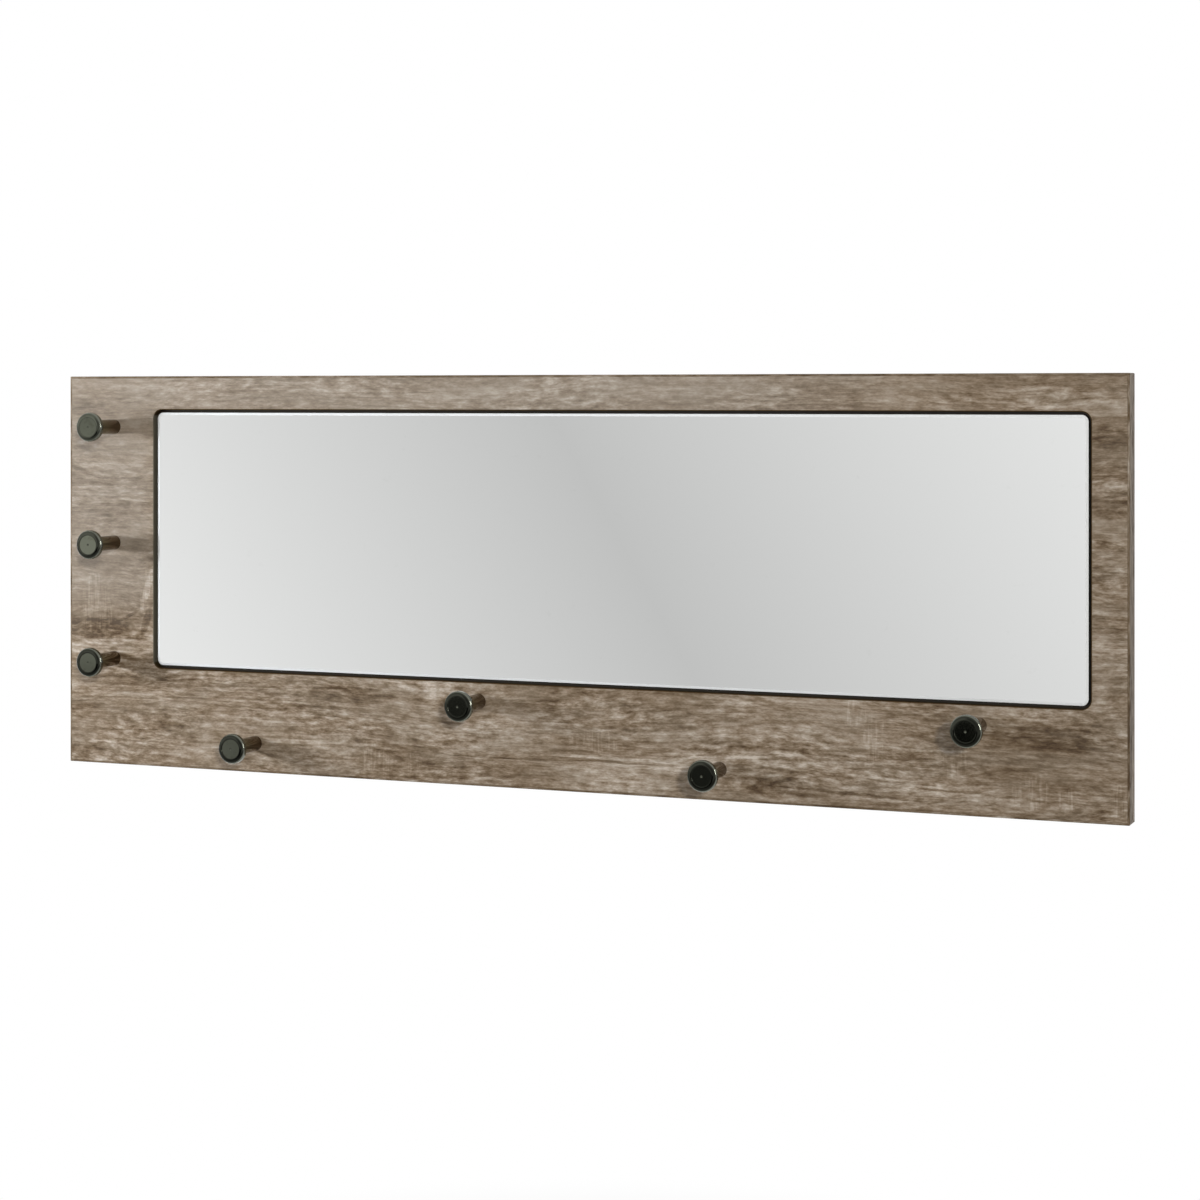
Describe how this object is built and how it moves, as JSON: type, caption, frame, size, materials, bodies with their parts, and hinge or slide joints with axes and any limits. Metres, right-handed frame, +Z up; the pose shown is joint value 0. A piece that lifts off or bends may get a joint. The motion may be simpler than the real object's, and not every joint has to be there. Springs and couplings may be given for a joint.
{
  "type": "wall mirror with coat pegs",
  "caption": "Landscape wall panel in grey-brown oak decor with a recessed mirror and round-headed metal coat pegs beside and below it; hangs on wall screws.",
  "frame": {"origin": "centre of the back face, which lies against the wall", "axes": "+X to the right as seen from the front, +Z up, +Y into the wall; the front looks along -Y"},
  "size_m": [1.1, 0.073, 0.4],
  "materials": {
    "oak_decor": "matt grey-brown oak decor with fine embossed grain",
    "black_board": "black melamine on chipboard, low sheen",
    "dark_edging": "matt near-black edging",
    "edge_band": "matt grey-brown oak print, softly rounded",
    "mirror_glass": "clear float glass mirror with a narrow ground bevel",
    "silver_coat": "silver with a grey protective paint behind",
    "foam_tape": "dull closed-cell foam",
    "peg_metal": "black nickel plate, glossy",
    "zinc_steel": "zinc plated, satin",
    "yellow_zinc": "yellow passivated zinc, satin"
  },
  "bodies": {
    "root": {"front_board": "oak_decor", "back_board": "black_board", "window_edging": "dark_edging", "edge_band_top": "edge_band", "edge_band_bottom": "edge_band", "edge_band_left": "edge_band", "edge_band_right": "edge_band", "mirror_glass": "mirror_glass", "mirror_silver_coat": "silver_coat", "mirror_tape_strips": "foam_tape", "peg_left_upper": "peg_metal", "peg_left_middle": "peg_metal", "peg_left_lower": "peg_metal", "peg_bottom_1": "peg_metal", "peg_bottom_2": "peg_metal", "peg_bottom_3": "peg_metal", "peg_bottom_4": "peg_metal", "peg_screws": "zinc_steel", "peg_washers": "zinc_steel", "hanger_plate_left": "zinc_steel", "hanger_plate_right": "zinc_steel", "hanger_plate_screws": "yellow_zinc"}
  },
  "joints": []
}
